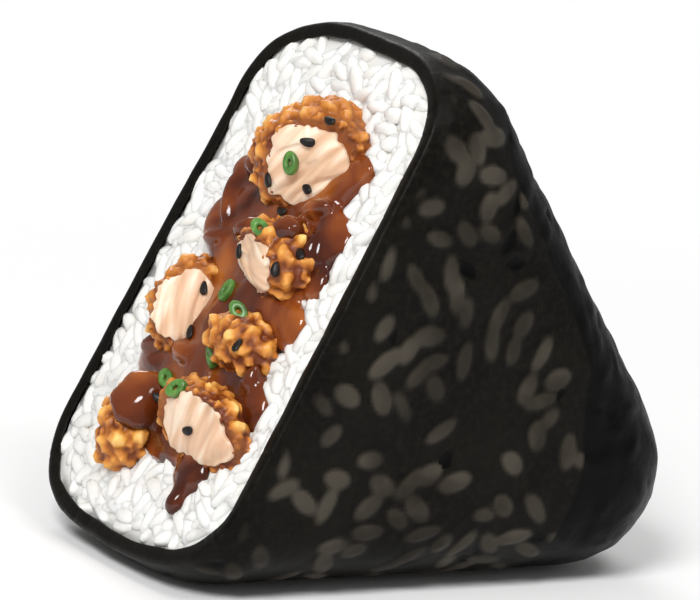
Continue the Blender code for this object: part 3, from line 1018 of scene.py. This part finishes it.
# %% Meat slabs
def meat_slab(name, spec, fibre, fill, seed):
    """Closed slab on a chunk's facet; fibre turns its strands, fill is its share of the facet."""
    axes, centre = chunk_frame(spec)
    n = np.array(spec.facet) / np.linalg.norm(spec.facet)
    spread = np.array([spec.rs, spec.ry, spec.rh]) ** 2
    middle = spec.depth * spec.rh * spread * n / (n * spread @ n)
    u = np.array([math.cos(fibre), math.sin(fibre), 0.0])
    u -= n * (u @ n)
    u /= np.linalg.norm(u)
    v = np.cross(n, u)
    around, out = 120, 34
    turns = np.arange(around) * 2 * math.pi / around
    ways = np.cos(turns)[:, None] * u + np.sin(turns)[:, None] * v
    a, b = (ways ** 2 / spread).sum(1), 2 * (ways * middle / spread).sum(1)
    c = (middle ** 2 / spread).sum() - 1
    reach = (-b + np.sqrt(b * b - 4 * a * c)) / (2 * a) * fill
    points, uvs, faces = [], [], []
    for r in range(out + 1):
        k = r / out
        for t, far in zip(turns, reach):
            edge = 1 + 0.26 * noise.noise(Vector((math.cos(t) * 1.7, math.sin(t) * 1.7, seed)))
            edge += 0.08 * noise.noise(Vector((math.cos(t) * 6, math.sin(t) * 6, seed)))
            x, w = far * k * edge * math.cos(t), far * k * edge * math.sin(t)
            bend = w + 0.8 * math.sin(x * 0.28 + seed)
            ridge = noise.noise(Vector((x * 0.08, bend * 0.36, seed + 5)))
            crease = 1 - abs(noise.noise(Vector((x * 0.07, bend * 0.30, seed + 7)))) * 5.0
            fine = noise.noise(Vector((x * 0.25, bend * 1.9, seed + 9)))
            swell = 0.8 * (1 - k ** 4) + (0.7 * ridge - 0.45 * max(crease, 0) + 0.05 * fine) * (1 - k ** 8)
            points.append(middle + u * x + v * w + n * (swell + 0.40))
            uvs.append((x, w))
    rim = out * around
    points += [points[rim + k] - n * 2.2 for k in range(around)]
    uvs += uvs[rim:rim + around]
    for r in range(out + 1):
        for k in range(around):
            p, q, j = r * around, (r + 1) * around, (k + 1) % around
            faces.append((p + k, q + k, q + j, p + j) if r else (k, q + k, q + j))
    faces.append(tuple((out + 1) * around + k for k in range(around))[::-1])
    mesh = bpy.data.meshes.new(name)
    mesh.from_pydata([tuple((centre + axes @ p) * MM) for p in points], [], faces)
    layer = mesh.uv_layers.new(name="fibres")
    for loop in mesh.loops:
        layer.data[loop.index].uv = [c * 0.05 + 0.5 for c in uvs[loop.vertex_index]]
    obj = as_object(name, mesh)
    tidy(obj, 1e-5)
    return obj


# chunk: turn of the fibres in its own axes, and the share of the facet that is meat
MEAT = {"top": (-0.95, 0.80), "right": (1.1, 0.72), "left": (0.1, 0.80), "bottom": (-0.2, 0.80)}
meat = Finish("chicken_meat", Roughness=0.42, Subsurface_Weight=0.3, Subsurface_Scale=0.0018,
              Subsurface_Radius=(1.0, 0.55, 0.35))
along = meat.add("ShaderNodeUVMap", uv_map="fibres").outputs["UV"]
strands = meat.noise(5.5, 2, 0.5, 0.35, (0.22, 1.6, 1.0), along)
threads = meat.noise(22, 3, 0.6, 0.3, (0.20, 1.6, 1.0), along)
flesh = meat.ramp(strands, (0.30, (0.56, 0.31, 0.175)), (0.46, (0.76, 0.51, 0.335)),
                  (0.60, (0.92, 0.76, 0.60)))
meat.colour(meat.mix(meat.ramp(meat.noise(110, 2), (0.4, 0.0), (0.75, 0.5)), flesh, (0.74, 0.46, 0.31)))
meat.roughness(meat.ramp(threads, (0.3, 0.32), (0.7, 0.52)))
first = meat.bump(strands, 0.4, 0.35)
meat.bump(threads, 0.22, 0.12, first)
for number, (key, (fibre, share)) in enumerate(MEAT.items()):
    slab = meat_slab("meat_" + key, CHUNKS[key], fibre, share, 2.3 * number)
    slab.data.materials.append(meat.mat)
    finish_piece(slab, "fried_crust", "chicken_" + key)

# %% [markdown]
# ## The sauce
# The sauce is one thick liquid. It fills the bed between the chicken pieces, swells in
# lobes over the rice, hangs in a drop at the lower end and clings as a film to parts of
# the crust. The parts are modelled roughly and fused by a voxel remesh, then smoothed, as
# surface tension would do.


# %% Sauce parts
def blob(s, y, h, rs, ry, rh, turn=0.0):
    """Ellipsoid in the cut face's axes."""
    c, d = math.cos(turn), math.sin(turn)
    obj = ball("blob", 3)
    q = read_points(obj) * MM
    a, b = q[:, 0] * rs, q[:, 1] * ry
    write_points(obj, in_face(s + c * a - d * b, y + d * a + c * b, h + q[:, 2] * rh))
    return obj


def bed():
    """The bed of sauce, lobed in front and tapering back into the rice."""
    count = 120
    turn = np.arange(count) * 2 * np.pi / count
    lobed = np.stack([np.cos(turn), np.sin(turn)], 1) * (bed_reach(turn) - 0.6)[:, None]
    plain = np.stack([np.cos(turn) * BED_HALF[0], np.sin(turn) * BED_HALF[1]], 1)
    rings = []
    for k in (0.2, 0.45, 0.68, 0.85, 0.95):
        sy = BED_CENTRE + lobed * k
        swirl = np.array([noise.noise(Vector((p[0] * 0.16, p[1] * 0.16, 7.0))) for p in sy])
        rings.append(in_face(sy[:, 0], sy[:, 1], 2.6 * math.sqrt(1 - k * k) + 1.4 * swirl * (1 - k)))
    for k, h in ((1.0, 0.2), (1.0, -2.2)):
        sy = BED_CENTRE + lobed * k
        rings.append(in_face(sy[:, 0], sy[:, 1], h))
    for k in (0.12, 0.3, 0.5, 0.7, 0.86, 0.96):
        sy = BED_CENTRE + plain * (1 - 0.5 * k) * (1 - k ** 5 * 0.55)
        rings.append(in_face(sy[:, 0], sy[:, 1], -BED_DEPTH * k))
    ends = [in_face(*BED_CENTRE, 2.6)], [in_face(*BED_CENTRE, -BED_DEPTH)]
    return new_mesh("bed", *lofted(ends[0], rings, ends[1]))


def film(key, number, toward, spread, thick=1.0):
    """Sauce clinging to a chunk's coat around one direction in the chunk's own axes."""
    spec = CHUNKS[key]
    obj = lump("film", spec, 0.0, 3.7 * number + 1)
    axes, centre = chunk_frame(spec)
    p = (read_points(obj) - centre) @ axes
    q = p / np.linalg.norm(p, axis=1, keepdims=True)
    t = np.array(toward) / np.linalg.norm(toward)
    ragged = np.array([noise.noise(Vector(v) * 1.7 + Vector((0, number, 3))) for v in q])
    near = np.clip((q @ t - math.cos(spread) + 0.22 * ragged) / 0.20, 0, 1)
    near = near * near * (3 - 2 * near)
    size = np.linalg.norm(p, axis=1)
    size = size * (0.62 + 0.38 * near) + near * thick
    write_points(obj, centre + (q * size[:, None]) @ axes.T)
    return slice_off(obj, spec, -0.5) if spec.depth else obj


SAUCE_BLOBS = [(61.8, 12.4, 0.2, 3.0, 2.8, 2.2), (53.8, 12.2, 0.2, 4.6, 3.4, 2.3),
               (57.5, 7.0, 0.6, 3.0, 3.6, 2.0), (68.6, -13.4, 0.2, 2.0, 3.6, 1.3),
               (58.0, -13.6, 0.3, 4.2, 4.2, 1.7), (50.5, -17.4, 0.0, 3.0, 2.2, 1.3),
               (42.0, -16.8, 0.0, 2.4, 2.4, 1.2), (31.5, -16.8, 0.0, 3.6, 3.2, 1.5),
               (31.5, 10.6, 0.2, 3.2, 4.6, 1.7), (46.5, 1.5, 0.6, 3.6, 4.6, 1.8),
               (33.5, -2.0, 0.6, 3.6, 5.6, 2.0), (18.6, -11.5, 0.3, 3.6, 4.0, 1.7),
               (15.6, -11.8, 0.5, 2.8, 1.8, 1.3), (13.6, -12.0, 0.7, 2.0, 1.6, 1.5),
               (56.8, 10.4, 2.1, 4.6, 1.3, 1.4, 0.5), (51.0, 9.0, 2.0, 1.4, 3.2, 1.4, 0.3),
               (62.6, 9.0, 1.9, 1.3, 2.8, 1.3, -0.4), (54.0, 2.0, 2.8, 1.5, 3.0, 1.3, 0.5),
               (50.4, -1.2, 2.8, 1.3, 2.4, 1.2, -0.3), (60.4, -11.6, 2.4, 1.4, 3.2, 1.3, 0.4),
               (33.0, 11.0, 2.1, 1.3, 2.8, 1.2, 0.6), (33.6, 2.2, 2.7, 1.4, 2.8, 1.2, -0.2),
               (54.6, -14.6, 2.0, 2.8, 1.3, 1.2, 0.2), (34.4, -16.0, 1.8, 2.4, 1.3, 1.2, 0.1)]
parts = [bed()] + [blob(*b) for b in SAUCE_BLOBS]
parts += [film("low", 4, (0.55, -0.75, 0.6), 1.0), film("right", 1, (0.7, -0.35, 0.35), 0.70),
          film("bottom", 5, (0.9, 0.45, 0.1), 0.50), film("bottom", 5, (-0.9, -0.2, 0.0), 0.55),
          film("top", 0, (-0.8, -0.6, -0.1), 0.55)]
sauce = joined(parts, "sauce_glaze")
sauce = fused(sauce, 0.45, 0.6, 5)
print("sauce faces:", len(sauce.data.polygons))

# %% [markdown]
# A soy and sugar sauce is nearly black where it is deep and amber where it is thin, with sharp small
# highlights. A swirl of noise spreads these tones over it.

# %% Sauce finish
glaze = Finish("brown_sauce", Roughness=0.10, Specular_IOR_Level=0.4, Coat_Weight=0.1,
               Coat_Roughness=0.03)
swirl = glaze.noise(95, 3, 0.45, 0.7)
glaze.colour(glaze.ramp(swirl, (0.34, (0.050, 0.008, 0.002)), (0.50, (0.150, 0.030, 0.006)),
                        (0.66, (0.29, 0.075, 0.012)), (0.80, (0.42, 0.13, 0.022))))
glaze.bump(glaze.noise(230, 2, 0.4, 0.6), 0.48, 0.55)
sauce.data.materials.clear()
sauce.data.materials.append(glaze.mat)
finish_piece(sauce, "brown_sauce", "sauce")

# %% [markdown]
# ## Sesame and spring onion
# The seeds and rings lie on whatever is under them. A ray is cast down onto the finished
# surfaces, and each piece is set at the hit, turned to the surface's normal.

# %% Find the surface
tops = [o for o in bpy.data.objects if o.name.startswith(("crust_", "meat_", "sauce_", "rice_"))]
trees = []
for o in tops:
    o.data.calc_loop_triangles()
    trees.append(BVHTree.FromPolygons([v.co for v in o.data.vertices],
                                      [tuple(t.vertices) for t in o.data.loop_triangles]))


def drop(s, y):
    """Where a thing dropped onto the cut face at (s, y) lands, and the normal there."""
    start = Vector(in_face(s, y, 30.0) * MM)
    hits = [t.ray_cast(start, Vector(-OUT)) for t in trees]
    place, normal, _, _ = min((h for h in hits if h[0]), key=lambda h: h[3])
    return np.array(place) / MM, np.array(normal if normal.dot(Vector(OUT)) > 0 else -normal)


def settle(shape, s, y, turn, sink):
    """Points of a small shape laid at (s, y); its own z is up from the surface."""
    place, n = drop(s, y)
    n = n * 0.6 + OUT * 0.4
    n /= np.linalg.norm(n)
    a = UP - n * (UP @ n)
    a /= np.linalg.norm(a)
    b = np.cross(n, a)
    c, d = math.cos(turn), math.sin(turn)
    u, v = a * c + b * d, b * c - a * d
    return place + shape[:, :1] * u + shape[:, 1:2] * v + (shape[:, 2:] - sink) * n


def many(name, shape, faces, spots, sink):
    points, all_faces = [], []
    for spot in spots:
        start = len(points)
        points += list(settle(shape, *spot, sink))
        all_faces += [tuple(i + start for i in f) for f in faces]
    return new_mesh(name, points, all_faces)


# %% Sesame seeds
seed_shape = grain_mesh("seed", 2.3, 1.35, 12, 10)
shape = read_points(seed_shape)
seed_faces = [tuple(p.vertices) for p in seed_shape.data.polygons]
shape[:, 1] *= 1 - 0.16 * shape[:, 0]
shape[:, 1] -= shape[:, 1].mean()
shape[:, 2] *= 0.62
bpy.data.objects.remove(seed_shape)
SEEDS = [(72.4, -10.0, 1.5), (68.4, -7.7, 1.9), (61.2, -2.6, 0.6), (62.6, -7.4, 1.1), (58.1, -3.8, 1.5),
         (50.1, -3.3, 0.3), (53.3, -14.6, 1.0), (49.7, -14.3, 0.4), (43.2, 3.4, 0.7), (36.6, 2.6, 0.6),
         (37.5, -15.0, 0.3), (25.9, 1.9, 1.6), (23.6, -12.0, 1.8)]
seeds = many("sesame_seeds", shape, seed_faces, SEEDS, -0.25)
sesame = Finish("black_sesame", Roughness=0.4, Specular_IOR_Level=0.25)
sesame.colour(sesame.ramp(sesame.noise(700, 2), (0.3, (0.006, 0.005, 0.005)),
                          (0.8, (0.020, 0.015, 0.012))))
sesame.bump(sesame.noise(1500, 2), 0.3, 0.08)
seeds.data.materials.append(sesame.mat)
finish_piece(seeds, "nori_sheet")

# %% Spring onion rings
def ring_shape(radius, wall, tall, around=28):
    """Short oval tube standing on its end."""
    rows = [(radius - wall, -tall / 2), (radius - wall * 0.7, -tall / 2 - 0.06), (radius - 0.1, -tall / 2),
            (radius, -tall / 2 + 0.12), (radius * 1.02, 0.0), (radius, tall / 2 - 0.12),
            (radius - 0.1, tall / 2), (radius - wall * 0.7, tall / 2 + 0.06), (radius - wall, tall / 2),
            (radius - wall * 1.05, 0.0)]
    points = [(r * math.cos(t), 0.66 * r * math.sin(t), z) for r, z in rows
              for t in np.arange(around) * 2 * math.pi / around]
    faces = [(i * around + k, i * around + (k + 1) % around,
              ((i + 1) % len(rows)) * around + (k + 1) % around, ((i + 1) % len(rows)) * around + k)
             for i in range(len(rows)) for k in range(around)]
    return np.array(points), faces


shape, ring_faces = ring_shape(1.75, 1.15, 1.05)
RINGS = [(64.7, -5.9, 0.4), (54.1, -8.0, 1.2), (44.3, -1.4, 0.0), (42.1, -8.8, 1.1),
         (34.8, -6.4, 0.1), (28.9, 3.0, 1.0), (28.2, -8.6, -0.7)]
onion = many("spring_onion", shape, ring_faces, RINGS, -0.28)
green = Finish("spring_onion_green", Roughness=0.35, Subsurface_Weight=0.2, Subsurface_Scale=0.001)
green.colour(green.ramp(green.noise(600, 2, 0.5, 0.4), (0.3, (0.045, 0.13, 0.020)),
                        (0.6, (0.095, 0.245, 0.042)), (0.8, (0.20, 0.38, 0.10))))
green.bump(green.noise(1200, 2), 0.2, 0.1)
onion.data.materials.append(green.mat)
finish_piece(onion, "brown_sauce")

# %% [markdown]
# ## Finish
# The scene keeps Blender's plain view transform.

# %% The end
bpy.context.scene.view_settings.view_transform = "Standard"
